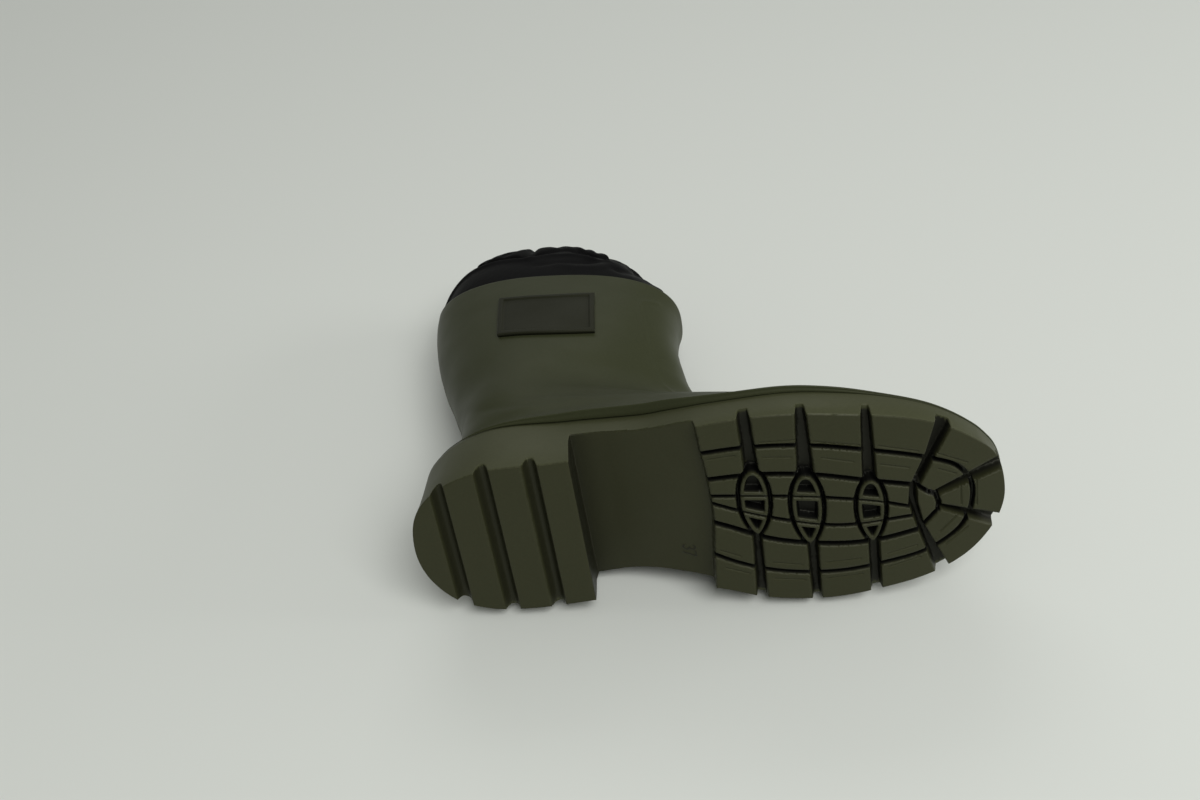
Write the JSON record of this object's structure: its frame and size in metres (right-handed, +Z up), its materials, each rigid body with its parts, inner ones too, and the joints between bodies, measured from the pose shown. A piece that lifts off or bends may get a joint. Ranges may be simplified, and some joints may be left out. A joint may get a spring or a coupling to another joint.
{
  "type": "wellington boot",
  "caption": "Short moulded rubber rain boot with a lugged sole, a heel block, a raised side plate and a gathered fabric cuff, lying on its side.",
  "frame": {"origin": "centre of the footprint of the lying boot, on the floor", "axes": "+X from the heel to the toe, +Y from the tread to the collar, +Z up to the outer side of the boot, which lies on its inner side"},
  "size_m": [0.291, 0.2662, 0.1114],
  "materials": {
    "sole_rubber": "satin moulded olive rubber",
    "upper_rubber": "satin moulded olive rubber",
    "cuff_nylon": "thin black nylon with a slight sheen",
    "insole_foam": "matt black knitted lining on foam"
  },
  "bodies": {
    "root": {"outsole": "sole_rubber", "insole": "insole_foam", "upper": "upper_rubber", "badge": "upper_rubber", "cuff": "cuff_nylon"}
  },
  "joints": []
}
